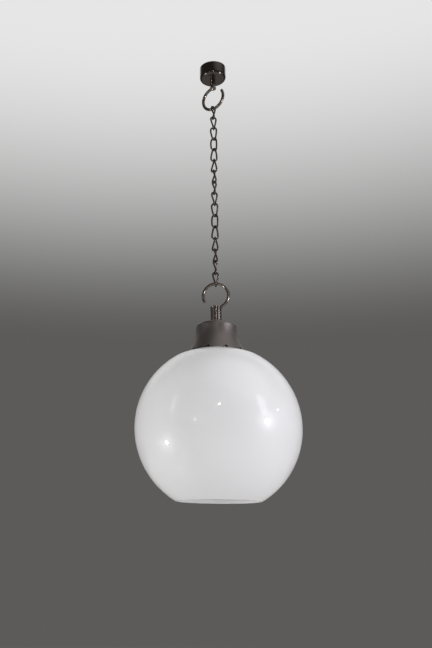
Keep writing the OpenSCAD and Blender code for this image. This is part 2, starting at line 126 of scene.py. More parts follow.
class LampSizes(bpy.types.PropertyGroup):
    """Sizes of the visible pieces."""

    canopy_wall: length("Canopy wall", "Sheet thickness of the canopy", 1.2)
    canopy_edge: length("Canopy edge", "Radius of the canopy's lower edge", 8.0)
    cable_offset: length("Cable offset", "Distance of the canopy's cable bush from the axis", 15.0)
    cable_hole: length("Cable hole", "Radius of the hole for the canopy's cable bush", 5.0)
    stem_hole: length("Stem hole", "Radius of the hole for the mounting tube", 4.2)
    ring_radius: length("Ring radius", "Radius of a C ring's centre line", 28.0)
    ring_bar: length("Ring bar", "Diameter of a C ring's round bar", 7.0)
    ring_to_stem: length("Ring to stem", "From a C ring's middle to its stem's end", 26.2)
    upper_stem: length("Upper stem", "Radius of the upper stem", 6.25)
    upper_collar: length("Upper collar", "Radius of the collar on the upper stem", 7.5)
    upper_thread: length("Upper thread", "Radius of the tapped hole in the upper stem", 4.0)
    lower_stem: length("Lower stem", "Radius of the lower stem", 12.0)
    lower_collar: length("Lower collar", "Radius of the collar on the lower stem", 13.0)
    lower_bore: length("Lower bore", "Radius of the bore in the lower stem", 5.0)
    bore_depth: length("Bore depth", "Depth of the bore in the lower stem", 25.0)
    inlet_height: length("Inlet height", "Height of the cable inlet above the lower stem's end", 20.0)
    inlet_radius: length("Inlet radius", "Radius of the cable inlet in the lower stem", 4.0)
    thread_depth: length("Thread depth", "Depth of the tapped hole in the upper stem", 14.0)
    collar_height: length("Collar height", "Height of a stem's collar", 4.0)
    link_wire: length("Link wire", "Diameter of the chain's wire", 4.0)
    link_width: length("Link width", "Outer width of a link", 17.3)
    cap_wall: length("Cap wall", "Sheet thickness of the cap", 1.5)
    cap_top: length("Cap top", "Radius of the cap below its shoulder", 44.0)
    cap_shoulder: length("Cap shoulder", "Radius of the cap's shoulder", 7.0)
    cap_fall: length("Cap fall", "Fall of the cap's top from the stem to the shoulder", 0.7)
    notch_width: length("Notch width", "Width of a vent notch in the cap's rim", 6.0)
    notch_height: length("Notch height", "Height of a vent notch in the cap's rim", 4.5)
    glass_wall: length("Glass wall", "Thickness of the opal glass", 4.0)
    crown_radius: length("Crown radius", "Radius of the globe's flattened crown", 215.0)
    crown_edge: length("Crown edge", "Radius at which the crown meets the ball", 90.0)
    fitter_hole: length("Fitter hole", "Radius of the hole in the globe's crown", 50.0)
    bulb_wall: length("Bulb wall", "Thickness of the bulb's glass", 1.0)
    base_radius: length("Base radius", "Radius of the bulb's base", 13.2)


class LampAngles(bpy.types.PropertyGroup):
    """Angles of the rings, the chain and the vent notches."""

    ring_root: angle("Ring root", "Angle of a C ring's rooted end", 84)
    ring_free: angle("Ring free end", "Angle of a C ring's free end", 31)
    upper_ring_yaw: angle("Upper ring yaw", "Yaw of the upper ring", -33)
    first_link_yaw: angle("First link yaw", "Yaw of the first link's top bend", 45)
    link_twist: angle("Link twist", "Twist of a link from bend to bend", 64.286)
    notch_count: bpy.props.IntProperty(
        name="Notches", description="Number of vent notches in the cap's rim", default=10, min=1
    )


class LampColours(bpy.types.PropertyGroup):
    """Colours of the finishes."""

    black_nickel: colour("Black nickel", "Polished canopy", "#544e4a")
    dark_nickel: colour("Dark nickel", "Polished hooks", "#7e766f")
    oxidised_steel: colour("Oxidised steel", "Chain wire", "#544d48")
    gunmetal: colour("Gunmetal", "Satin cap", "#7b7572")
    opal: colour("Opal", "Blown glass ball", "#f3f3f3")
    zinc: colour("Zinc", "Plated inner metal", "#c2c3c2")
    brass: colour("Brass", "Contacts and screws", "#c9a660")
    porcelain: colour("Porcelain", "Terminal block and insert", "#e9e4d8")
    rubber: colour("Rubber", "Bushes and gasket", "#1d1d1e")
    frosted: colour("Frosted glass", "Bulb", "#f3f0e8")
    aluminium: colour("Aluminium", "Bulb's base", "#c9c9c7")
    floor: colour("Floor", "Studio floor", "#d3d2d0")
    backdrop: colour("Backdrop", "Backdrop behind the glass ball", "#5c5b5a")
    overhead: colour("Overhead", "Backdrop above the lamp", "#e6e6e6")


def sizes():
    return bpy.context.scene.lamp_sizes


def angles():
    return bpy.context.scene.lamp_angles


def colours():
    return bpy.context.scene.lamp_colours


def deselect_all():
    """Nothing stays selected or in edit mode, so the next operator acts on its own piece only."""
    if bpy.context.mode != "OBJECT":
        bpy.ops.object.mode_set(mode="OBJECT")
    bpy.ops.object.select_all(action="DESELECT")


def make_active(piece):
    deselect_all()
    piece.select_set(True)
    bpy.context.view_layer.objects.active = piece


def named(name):
    """Names the primitive that was just added."""
    piece = bpy.context.object
    piece.name = name
    piece.data.name = name
    return piece


def apply_place(piece):
    """Moves the piece's place and turn into its mesh, so its object sits at the origin."""
    piece.data.transform(piece.matrix_world)
    piece.matrix_world = Matrix.Identity(4)


def apply_modifier(piece, kind, **settings):
    """Adds one modifier and applies it."""
    make_active(piece)
    modifier = piece.modifiers.new(kind.title(), kind)
    for key, value in settings.items():
        setattr(modifier, key, value)
    bpy.ops.object.modifier_apply(modifier=modifier.name)


def cut(piece, cutter, operation="DIFFERENCE"):
    """Cuts or joins two solids, and removes the second."""
    apply_modifier(piece, "BOOLEAN", operation=operation, solver="EXACT", object=cutter)
    bpy.data.objects.remove(cutter)


def smooth(piece, angle_deg=32):
    make_active(piece)
    bpy.ops.object.shade_smooth_by_angle(angle=math.radians(angle_deg))


def rounded(corners, step_deg=9):
    """An outline from corners (r, z, fillet): each fillet becomes an arc."""
    outline = []
    for i, (r, z, fillet) in enumerate(corners):
        here = Vector((r, z))
        if fillet == 0:
            outline.append((r, z))
            continue
        before = (Vector(corners[i - 1][:2]) - here).normalized()
        after = (Vector(corners[(i + 1) % len(corners)][:2]) - here).normalized()
        half = before.angle(after) / 2
        centre = here + (before + after).normalized() * (fillet / math.sin(half))
        start = here + before * (fillet / math.tan(half)) - centre
        end = here + after * (fillet / math.tan(half)) - centre
        sweep = start.angle(end)
        steps = max(2, math.ceil(math.degrees(sweep) / step_deg))
        for k in range(steps + 1):
            t = k / steps
            arm = (start * math.sin((1 - t) * sweep) + end * math.sin(t * sweep)) / math.sin(sweep)
            point = centre + arm
            outline.append((point.x, point.y))
    return outline


def lathe(name, outline, steps=LATHE_STEPS):
    """Spins a closed outline of (r, z) points once round the axis."""
    deselect_all()
    bpy.ops.mesh.primitive_circle_add(vertices=len(outline), radius=1.0)
    piece = named(name)
    for vertex, (r, z) in zip(piece.data.vertices, outline):
        vertex.co = (r, 0.0, z)
    bpy.ops.object.mode_set(mode="EDIT")
    bpy.ops.mesh.select_all(action="SELECT")
    bpy.ops.mesh.spin(steps=steps, angle=math.tau, center=(0, 0, 0), axis=(0, 0, 1))
    close_mesh()
    return piece


def close_mesh():
    """Joins the seams and poles, drops what lies loose on the axis and turns the faces outwards."""
    bpy.ops.mesh.select_all(action="SELECT")
    bpy.ops.mesh.remove_doubles(threshold=MERGE_GAP)
    bpy.ops.mesh.select_all(action="SELECT")
    bpy.ops.mesh.delete_loose(use_verts=True, use_edges=True, use_faces=False)
    bpy.ops.mesh.select_all(action="SELECT")
    bpy.ops.mesh.normals_make_consistent(inside=False)
    bpy.ops.object.mode_set(mode="OBJECT")


def place_piece(piece, body, slot, finish, *replaced):
    """Gives a finished piece its material and its body, and hides the nodes that it stands for."""
    piece.data.materials.clear()
    piece.data.materials.append(finish)
    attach(piece, body)
    if replaced:
        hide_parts(*replaced)


def bell(t, bottom, top_z):
    """A point on the cap's flaring side, from the shoulder at 0 to the rim at 1."""
    s = sizes()
    u = 1 - t
    drop = top_z - bottom[1]
    flare = bottom[0] - s.cap_top
    controls = (
        (u**3, s.cap_top, top_z),
        (3 * u * u * t, s.cap_top + flare * BELL_OUT[0], top_z - drop * BELL_DOWN[0]),
        (3 * u * t * t, s.cap_top + flare * BELL_OUT[1], top_z - drop * BELL_DOWN[1]),
        (t**3, bottom[0], bottom[1]),
    )
    return sum(w * r for w, r, z in controls), sum(w * z for w, r, z in controls)


def add_node(tree, kind, inputs=None, **settings):
    """Adds one shader node; an input is a value or another node's socket."""
    node = tree.nodes.new(kind)
    for key, value in settings.items():
        setattr(node, key, value)
    for key, value in (inputs or {}).items():
        if isinstance(value, bpy.types.NodeSocket):
            tree.links.new(value, node.inputs[key])
        else:
            node.inputs[key].default_value = value
    return node


def new_material(name):
    """A material with an empty node tree and its output."""
    material = bpy.data.materials.new(name)
    material.use_nodes = True
    material.node_tree.nodes.clear()
    output = material.node_tree.nodes.new("ShaderNodeOutputMaterial")
    return material, material.node_tree, output


def per_metre(period_mm):
    """The texture scale that gives a pattern this period."""
    return 1.0 / (period_mm * MM)


def rgba(colour_value, factor=1.0):
    return (*[min(1.0, c * factor) for c in colour_value], 1.0)


def metal(name, base, roughness, grain_mm, spread=0.05, bump=0.1, streak=1.0, tint=0.85):
    """A metal whose gloss wanders a little, with fine marks of its making in the bump."""
    material, tree, output = new_material(name)
    place = add_node(tree, "ShaderNodeTexCoord")
    stretch = add_node(
        tree, "ShaderNodeMapping", {"Vector": place.outputs["Object"], "Scale": (1.0, 1.0, streak)}
    )
    cloud = add_node(
        tree, "ShaderNodeTexNoise",
        {"Vector": place.outputs["Object"], "Scale": per_metre(CLOUD_MM), "Detail": 4.0, "Roughness": 0.6},
    )
    grain = add_node(
        tree, "ShaderNodeTexNoise",
        {"Vector": stretch.outputs["Vector"], "Scale": per_metre(grain_mm), "Detail": 2.0},
    )
    shade = add_node(
        tree, "ShaderNodeMix", {"Factor": cloud.outputs["Fac"]}, data_type="RGBA"
    )
    shade.inputs[6].default_value = rgba(base, tint)
    shade.inputs[7].default_value = rgba(base, 2.0 - tint)
    gloss = add_node(
        tree, "ShaderNodeMapRange",
        {"Value": cloud.outputs["Fac"], "From Min": 0.3, "From Max": 0.7,
         "To Min": max(0.02, roughness - spread), "To Max": roughness + spread},
    )
    relief = add_node(
        tree, "ShaderNodeBump", {"Height": grain.outputs["Fac"], "Strength": bump, "Distance": RELIEF_DEPTH}
    )
    surface = add_node(
        tree, "ShaderNodeBsdfPrincipled",
        {"Base Color": shade.outputs[2], "Metallic": 1.0, "Roughness": gloss.outputs["Result"],
         "Normal": relief.outputs["Normal"]},
    )
    tree.links.new(surface.outputs["BSDF"], output.inputs["Surface"])
    return material


def dielectric(name, base, roughness, grain_mm, spread=0.04, bump=0.08, tint=0.95):
    """Rubber, porcelain or frosted glass: a plain body colour with a slightly uneven surface."""
    material, tree, output = new_material(name)
    place = add_node(tree, "ShaderNodeTexCoord")
    cloud = add_node(
        tree, "ShaderNodeTexNoise",
        {"Vector": place.outputs["Object"], "Scale": per_metre(grain_mm), "Detail": 3.0},
    )
    shade = add_node(
        tree, "ShaderNodeMix", {"Factor": cloud.outputs["Fac"]}, data_type="RGBA"
    )
    shade.inputs[6].default_value = rgba(base, tint)
    shade.inputs[7].default_value = rgba(base)
    gloss = add_node(
        tree, "ShaderNodeMapRange",
        {"Value": cloud.outputs["Fac"],
         "To Min": max(0.02, roughness - spread), "To Max": roughness + spread},
    )
    relief = add_node(
        tree, "ShaderNodeBump", {"Height": cloud.outputs["Fac"], "Strength": bump, "Distance": RELIEF_DEPTH}
    )
    surface = add_node(
        tree, "ShaderNodeBsdfPrincipled",
        {"Base Color": shade.outputs[2], "Roughness": gloss.outputs["Result"],
         "Normal": relief.outputs["Normal"]},
    )
    tree.links.new(surface.outputs["BSDF"], output.inputs["Surface"])
    return material


FINISHES = {}


def finish(slot):
    """The material of one of the record's slots, made the first time it is asked for."""
    if slot not in FINISHES:
        FINISHES[slot] = FINISH_MAKERS[slot]()
    return FINISHES[slot]


def black_nickel():
    """Black nickel on spun steel, buffed: a near-black mirror with faint spinning marks."""
    return metal(
        "Black nickel, buffed", colours().black_nickel, roughness=0.16, grain_mm=1.5,
        spread=0.05, bump=0.03, streak=8.0,
    )


def dark_nickel():
    """Dark nickel on turned and bent bar, polished: a warm grey mirror."""
    return metal(
        "Dark nickel, polished", colours().dark_nickel, roughness=0.22, grain_mm=1.2, spread=0.04, bump=0.02
    )


def oxidised_steel():
    """Drawn steel wire, oxidised: dark, with brighter rubbed places."""
    return metal(
        "Steel wire, oxidised", colours().oxidised_steel, roughness=0.3, grain_mm=0.6,
        spread=0.1, bump=0.25, tint=0.7,
    )


def gunmetal():
    """Spun steel with a satin gunmetal lacquer: soft, wide highlights."""
    return metal(
        "Gunmetal lacquer, satin", colours().gunmetal, roughness=0.45, grain_mm=0.35, spread=0.04, tint=0.92
    )


def opal(name, light_through, coat):
    """White glass that scatters light to both sides, under a glossy, slightly wavy clear skin."""
    material, tree, output = new_material(name)
    base = colours().opal
    place = add_node(tree, "ShaderNodeTexCoord")
    wave = add_node(
        tree, "ShaderNodeTexNoise",
        {"Vector": place.outputs["Object"], "Scale": per_metre(WAVE_MM), "Detail": 1.0},
    )
    relief = add_node(
        tree, "ShaderNodeBump", {"Height": wave.outputs["Fac"], "Strength": 0.15, "Distance": WAVE_DEPTH}
    )
    skin = add_node(
        tree, "ShaderNodeBsdfPrincipled",
        {"Base Color": rgba(base), "Roughness": 0.36, "IOR": 1.5, "Coat Weight": coat,
         "Coat Roughness": 0.045, "Coat IOR": 1.8, "Coat Normal": relief.outputs["Normal"]},
    )
    glow = add_node(tree, "ShaderNodeBsdfTranslucent", {"Color": rgba(base, 1.1)})
    blend = add_node(
        tree, "ShaderNodeMixShader",
        {"Fac": light_through, 1: skin.outputs["BSDF"], 2: glow.outputs["BSDF"]},
    )
    tree.links.new(blend.outputs["Shader"], output.inputs["Surface"])
    return material


def opal_glass():
    """Blown opal glass, outer face: the white layer lies here, so most light turns back."""
    return opal("Opal glass, blown", light_through=0.45, coat=1.0)


def opal_inside():
    """Blown opal glass, inner face: clear glass over the white layer, so most light goes through."""
    return opal("Opal glass, inner face", light_through=0.92, coat=0.3)


def zinc():
    """Zinc-plated pressed steel: pale, with a cloudy gloss."""
    return metal("Steel, zinc plated", colours().zinc, roughness=0.3, grain_mm=0.5, spread=0.12)


def plain_brass():
    """Rolled and turned brass, left plain."""
    return metal("Brass, plain", colours().brass, roughness=0.25, grain_mm=0.4, spread=0.08)


def pressed_aluminium():
    """Pressed aluminium: pale and fairly bright."""
    return metal("Aluminium, pressed", colours().aluminium, roughness=0.28, grain_mm=0.4, spread=0.06)


def porcelain():
    """Glazed porcelain: off-white and glossy."""
    return dielectric("Porcelain, glazed", colours().porcelain, roughness=0.15, grain_mm=6.0)


def black_rubber():
    """Moulded black rubber: dull, with a fine grain."""
    return dielectric("Rubber, moulded", colours().rubber, roughness=0.65, grain_mm=0.8, bump=0.3)


def frosted_glass():
    """Bulb glass, frosted inside: white and soft."""
    return dielectric("Bulb glass, frosted", colours().frosted, roughness=0.25, grain_mm=20.0, bump=0.02)


FINISH_MAKERS = {
    "canopy_metal": black_nickel,
    "hook_metal": dark_nickel,
    "chain_steel": oxidised_steel,
    "cap_metal": gunmetal,
    "opal_glass": opal_glass,
    "zinc_steel": zinc,
    "brass": plain_brass,
    "ceramic": porcelain,
    "rubber": black_rubber,
    "bulb_glass": frosted_glass,
    "bulb_metal": pressed_aluminium,
}


def c_ring(name, centre_z, yaw, turn):
    """An open ring of round bar in an upright plane, with its ends eased."""
    s, a = sizes(), angles()
    deselect_all()
    bpy.ops.mesh.primitive_circle_add(
        vertices=RING_SIDES, radius=s.ring_bar / 2,
        location=(s.ring_radius, 0, 0), rotation=(math.pi / 2, 0, 0),
    )
    ring = named(name)
    apply_place(ring)
    sweep = math.tau + a.ring_free - a.ring_root
    bpy.ops.object.mode_set(mode="EDIT")
    bpy.ops.mesh.select_all(action="SELECT")
    bpy.ops.mesh.edge_face_add()
    bpy.ops.mesh.spin(steps=RING_STEPS, angle=-sweep, center=(0, 0, 0), axis=(0, 0, 1))
    close_mesh()
    make_active(ring)
    bpy.ops.object.mode_set(mode="EDIT")
    bpy.ops.mesh.select_mode(type="FACE")
    bpy.ops.mesh.select_all(action="DESELECT")
    bpy.ops.object.mode_set(mode="OBJECT")
    for face in ring.data.polygons:
        face.select = len(face.vertices) > 4
    bpy.ops.object.mode_set(mode="EDIT")
    bpy.ops.mesh.bevel(offset=RING_EASE, segments=3, affect="EDGES")
    bpy.ops.mesh.select_mode(type="VERT")
    bpy.ops.object.mode_set(mode="OBJECT")
    ring.data.transform(
        Matrix.Translation((0, 0, centre_z))
        @ Matrix.Rotation(yaw, 4, "Z")
        @ Matrix.Rotation(math.pi / 2, 4, "X")
        @ Matrix.Rotation(turn + a.ring_root, 4, "Z")
    )
    return ring


class LAMP_OT_canopy(bpy.types.Operator):
    """Spin the canopy and cut the hole for its cable bush"""

    bl_idname = "lamp.canopy"
    bl_label = "Canopy"

    def execute(self, context):
        s = sizes()
        low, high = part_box("canopy")
        edge = s.canopy_edge
        outline = rounded([
            (s.stem_hole, low[2], 0.2 * MM),
            (high[0], low[2], edge),
            (high[0], high[2], 0.5 * MM),
            (high[0] - s.canopy_wall, high[2], 0.5 * MM),
            (high[0] - s.canopy_wall, low[2] + s.canopy_wall, edge - s.canopy_wall),
            (s.stem_hole, low[2] + s.canopy_wall, 0),
        ])
        canopy = lathe("canopy_shell", outline)
        deselect_all()
        bpy.ops.mesh.primitive_cylinder_add(
            vertices=48, radius=s.cable_hole, depth=4 * s.canopy_wall, location=(0, s.cable_offset, low[2])
        )
        cut(canopy, named("canopy_cable_cutter"))
        smooth(canopy)
        place_piece(canopy, "ceiling_fitting", "canopy_metal", finish("canopy_metal"), "canopy")
        return {"FINISHED"}


class LAMP_OT_hooks(bpy.types.Operator):
    """Turn the two stems and bend the two open rings"""

    bl_idname = "lamp.hooks"
    bl_label = "Hooks"

    def execute(self, context):
        s, a = sizes(), angles()
        ring_out = s.ring_radius + s.ring_bar / 2
        low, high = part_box("upper_hook")
        end = low[2] + ring_out + s.ring_to_stem
        stem = lathe("upper_hook_bar", rounded([
            (0, high[2] - s.thread_depth, 0),
            (s.upper_thread, high[2] - s.thread_depth, 0),
            (s.upper_thread, high[2], 0),
            (s.upper_stem, high[2], 0.3 * MM),
            (s.upper_stem, end + s.collar_height, 0.4 * MM),
            (s.upper_collar, end + s.collar_height, 0.7 * MM),
            (s.upper_collar, end, 0.7 * MM),
            (0, end, 0),
        ]), steps=64)
        cut(stem, c_ring("upper_ring_bar", low[2] + ring_out, a.upper_ring_yaw, 0.0), "UNION")
        smooth(stem)
        place_piece(stem, "ceiling_fitting", "hook_metal", finish("hook_metal"), "upper_hook")

        low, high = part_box("lower_hook")
        ring_z = high[2] - ring_out
        top = ring_z - s.ring_to_stem
        stem = lathe("lower_hook_bar", rounded([
            (0, top, 0),
            (s.lower_collar, top, 0.8 * MM),
            (s.lower_collar, top - s.collar_height, 0.8 * MM),
            (s.lower_stem, top - s.collar_height, 0.4 * MM),
            (s.lower_stem, low[2], 0.4 * MM),
            (s.lower_bore, low[2], 0),
            (s.lower_bore, low[2] + s.bore_depth, 0),
            (0, low[2] + s.bore_depth, 0),
        ]), steps=96)
        deselect_all()
        bpy.ops.mesh.primitive_cylinder_add(
            vertices=40, radius=s.inlet_radius, depth=s.lower_stem,
            location=(0, s.lower_stem * 0.75, low[2] + s.inlet_height), rotation=(math.pi / 2, 0, 0),
        )
        cut(stem, named("inlet_cutter"))
        yaw = lower_ring_yaw()
        cut(stem, c_ring("lower_ring_bar", ring_z, yaw, math.pi), "UNION")
        smooth(stem)
        place_piece(stem, "lamp_head", "hook_metal", finish("hook_metal"), "lower_hook")
        return {"FINISHED"}


def link_yaw(number):
    """Yaw of a link's top bend; the first link is number 0."""
    a = angles()
    return a.first_link_yaw + number * (a.link_twist + math.pi / 2)


def lower_ring_yaw():
    """The lower ring stands square to the last link's bottom bend, facing the front."""
    yaw = link_yaw(len(LINK_NODES) - 1) + angles().link_twist + math.pi / 2
    return (yaw + math.pi / 2) % math.pi - math.pi / 2


class LAMP_OT_chain(bpy.types.Operator):
    """Bend one link, twist it and copy it down the chain"""

    bl_idname = "lamp.chain"
    bl_label = "Chain"

    def execute(self, context):
        s, a = sizes(), angles()
        low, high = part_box(LINK_NODES[0])
        wire = s.link_wire / 2
        bend = s.link_width / 2 - wire
        leg = high[2] - low[2] - s.link_width
        deselect_all()
        bpy.ops.mesh.primitive_circle_add(vertices=WIRE_SIDES, radius=wire, location=(bend, 0, leg / 2))
        link = named("chain_link")
        apply_place(link)
        bpy.ops.object.mode_set(mode="EDIT")
        bpy.ops.mesh.select_all(action="SELECT")
        for side in (1, -1):
            bpy.ops.mesh.spin(
                steps=BEND_STEPS, angle=math.pi, center=(0, 0, side * leg / 2), axis=(0, 1, 0)
            )
            for _ in range(LEG_STEPS):
                bpy.ops.mesh.extrude_region_move(
                    TRANSFORM_OT_translate={"value": (0, 0, -side * leg / LEG_STEPS)}
                )
        close_mesh()
        reach = leg / 2 + bend
        for vertex in link.data.vertices:
            t = min(1.0, max(0.0, (reach - vertex.co.z) / (2 * reach)))
            vertex.co.rotate(Matrix.Rotation(a.link_twist * t * t * (3 - 2 * t), 3, "Z"))
        for number, node in enumerate(LINK_NODES):
            low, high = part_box(node)
            copy = bpy.data.objects.new(f"link_{number + 1:02d}_wire", link.data.copy())
            context.collection.objects.link(copy)
            copy.data.transform(
                Matrix.Translation((0, 0, (low[2] + high[2]) / 2))
                @ Matrix.Rotation(link_yaw(number), 4, "Z")
            )
            smooth(copy, 60)
            place_piece(copy, f"link_{number + 1:02d}", "chain_steel", finish("chain_steel"), node)
        bpy.data.objects.remove(link)
        return {"FINISHED"}


class LAMP_OT_cap(bpy.types.Operator):
    """Spin the cap's bell and cut its vent notches"""

    bl_idname = "lamp.cap"
    bl_label = "Cap"

    def execute(self, context):
        s, a = sizes(), angles()
        low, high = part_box("cap")
        rim = (high[0], low[2])
        shoulder_z = high[2] - s.cap_fall - s.cap_shoulder
        hole = s.lower_bore + CAP_HOLE_GAP
        flat = s.lower_stem + CAP_FLAT

        def side(inset):
            arc = [
                (s.cap_top - s.cap_shoulder + (s.cap_shoulder - inset) * math.cos(t),
                 shoulder_z + (s.cap_shoulder - inset) * math.sin(t))
                for t in (math.radians(90 - 6 * i) for i in range(15))
            ]
            flank = [bell(i / 40, rim, shoulder_z) for i in range(41)]
            return arc + [(r - inset, z) for r, z in flank]

        outer, inner = side(0.0), side(s.cap_wall)
        outline = (
            [(hole, high[2]), (flat, high[2])] + outer[:-1]
            + [(rim[0] - 0.2 * MM, rim[1] + 0.1 * MM), (rim[0] - 0.5 * MM, rim[1])]
            + inner[::-1] + [(flat, high[2] - s.cap_wall), (hole, high[2] - s.cap_wall)]
        )
        cap = lathe("cap_bell", outline, steps=160)
        deselect_all()
        bpy.ops.mesh.primitive_cube_add(size=1.0, location=(rim[0] - 2 * MM, 0, rim[1]))
        cutter = named("notch_cutter")
        cutter.scale = (NOTCH_DEPTH, s.notch_width, 2 * s.notch_height)
        bpy.context.view_layer.update()
        apply_place(cutter)
        apply_modifier(cutter, "BEVEL", width=NOTCH_CORNER, segments=4)
        notch = cutter.data
        for i in range(a.notch_count):
            turn = NOTCH_START + (i + 0.5) * math.tau / a.notch_count
            tool = bpy.data.objects.new(f"notch_tool_{i}", notch.copy())
            context.collection.objects.link(tool)
            tool.data.transform(Matrix.Rotation(turn, 4, "Z"))
            cut(cap, tool)
        bpy.data.objects.remove(cutter)
        smooth(cap, 40)
        place_piece(cap, "lamp_head", "cap_metal", finish("cap_metal"), "cap")
        return {"FINISHED"}


def ball_radius():
    """The glass ball's outer radius, kept just inside its modelled box."""
    low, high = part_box("globe")
    return min(high[0], high[1], -low[0], -low[1])


def crown_sink():
    """How far the flatter crown's centre lies below the ball's middle."""
    s = sizes()
    return math.sqrt(s.crown_radius**2 - s.crown_edge**2) - math.sqrt(ball_radius() ** 2 - s.crown_edge**2)


def globe_middle():
    """Height of the ball's middle."""
    s = sizes()
    low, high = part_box("globe")
    return high[2] - math.sqrt(s.crown_radius**2 - s.fitter_hole**2) + crown_sink()


class LAMP_OT_globe(bpy.types.Operator):
    """Blow the glass ball, with its flattened crown, fitter hole and open mouth"""

    bl_idname = "lamp.globe"
    bl_label = "Globe"

    def execute(self, context):
        s = sizes()
        low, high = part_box("globe")
        ball = ball_radius()
        crown_drop = crown_sink()
        centre = globe_middle()
        mouth = centre - low[2]

        def shell(inset):
            crown, body = s.crown_radius - inset, ball - inset
            top = [
                (r, math.sqrt(crown**2 - r * r) - crown_drop)
                for r in (
                    s.fitter_hole + (s.crown_edge * (1 - inset / ball) - s.fitter_hole) * i / 14
                    for i in range(14)
                )
            ]
            begin = math.acos(s.crown_edge / ball)
            end = -math.asin(mouth / body)
            side = [
                (body * math.cos(t), body * math.sin(t))
                for t in (begin + (end - begin) * i / 110 for i in range(111))
            ]
            return [(r, centre + z) for r, z in top + side]

        outer, inner = shell(0.0), shell(s.glass_wall)

        def corner(points, at):
            return (*points[at], GLASS_LIP)

        outline = rounded(
            [corner(outer, 0)] + [(*p, 0) for p in outer[2:-2]] + [corner(outer, -1), corner(inner, -1)]
            + [(*p, 0) for p in inner[2:-2][::-1]] + [corner(inner, 0)]
        )
        globe = lathe("globe_glass", outline, steps=192)
        smooth(globe, 50)
        place_piece(globe, "lamp_head", "opal_glass", finish("opal_glass"), "globe")
        globe.data.materials.append(opal_inside())
        middle = Vector((0, 0, centre))
        for face in globe.data.polygons:
            if face.normal.dot(face.center - middle) < 0:
                face.material_index = 1
        return {"FINISHED"}


class LAMP_OT_bulb(bpy.types.Operator):
    """Shape the bulb's glass"""

    bl_idname = "lamp.bulb"
    bl_label = "Bulb"

    def execute(self, context):
        s = sizes()
        low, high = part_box("bulb_glass")
        ball = (high[0] - low[0]) / 2
        base_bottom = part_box("bulb_base")[0][2]
        neck = s.base_radius - NECK_GAP
        middle = low[2] + ball

        def glass(inset):
            round_part = [
                ((ball - inset) * math.cos(t), middle + (ball - inset) * math.sin(t))
                for t in (math.radians(-90 + 4 * i) for i in range(31))
            ]
            neck_z = base_bottom - NECK_BELOW
            return [(*p, 0) for p in round_part] + [
                (neck - inset, neck_z, NECK_BEND), (neck - inset, high[2], 0)
            ]

        outer, inner = glass(0.0), glass(s.bulb_wall)
        points = rounded(outer) + rounded(inner)[::-1]
        bulb = lathe("bulb_envelope", points, steps=96)
        smooth(bulb, 50)
        place_piece(bulb, "bulb", "bulb_glass", finish("bulb_glass"), "bulb_glass")
        return {"FINISHED"}


class LAMP_OT_inner_pieces(bpy.types.Operator):
    """Give the pieces that keep their modelled shape their finish"""

    bl_idname = "lamp.inner_pieces"
    bl_label = "Inner pieces"

    def execute(self, context):
        for part in frame["record"]["subparts"]:
            for slot in frame["nodes"][part["node"]].material_slots:
                slot.material = finish(part["material_slot"])
        return {"FINISHED"}


CAMERA_Y = -1.5822
CAMERA_BELOW_GLOBE = 0.2308
CAMERA_HEADING = math.radians(5.6)
CAMERA_TILT = math.radians(16.15)
CAMERA_ROLL = math.radians(0.76)
PHOTO_SIZE = (432, 648)
PHOTO_FOCAL = 750.0
PHOTO_AXIS_X = 145.6
SENSOR = 36.0
FLOOR_DROP = 1.1
FLOOR_PALE = 3.0
FLOOR_FAR = 7.0

# Each round lamp, aimed at the ball's middle: azimuth from the front towards the right and
# elevation in degrees, distance and diameter in metres, power in watts, colour
ROUND_LAMPS = (
    ("right_key", 66.0, 3.0, 2.0, 0.18, 24.0, "#f6f5ff"),
    ("left_fill", -73.6, -18.0, 2.0, 0.10, 13.5, "#ffffff"),
    ("front_small", -28.8, 3.0, 2.4, 0.07, 2.0, "#ffffff"),
    ("top_small", 2.5, 22.0, 2.4, 0.07, 2.0, "#ffffff"),
    ("right_small", 86.0, 16.0, 2.0, 0.06, 0.7, "#ffffff"),
)
# Each soft window, aimed at the cap: azimuth, elevation, distance, width, height, power, colour
WINDOWS = (
    ("right_window", 62.0, 18.0, 2.2, 0.5, 0.9, 2.6, "#f6f5ff"),
    ("left_window", -62.0, 18.0, 2.2, 0.3, 0.9, 0.7, "#ffffff"),
)
# Direction of the pale patch of ceiling at the front right, and the spread of its soft edge
CEILING_PATCH = Vector((0.40, -0.27, 0.88)).normalized()
PATCH_EDGE = (0.72, 0.97)
# Where the back wall turns pale, upwards and towards the back, and the strength of the even fill
WALL_UP = (0.25, 0.62)
WALL_BACK = (0.4, 0.68)
FILL = 0.7


def seen_rays(tree):
    """1 for rays that show a surface or the background, 0 for those that only carry light."""
    rays = add_node(tree, "ShaderNodeLightPath")
    direct = add_node(
        tree, "ShaderNodeMath",
        {0: rays.outputs["Is Camera Ray"], 1: rays.outputs["Is Glossy Ray"]}, operation="MAXIMUM",
    )
    return add_node(
        tree, "ShaderNodeMath",
        {0: direct.outputs["Value"], 1: rays.outputs["Is Transmission Ray"]}, operation="MAXIMUM",
    ).outputs["Value"]


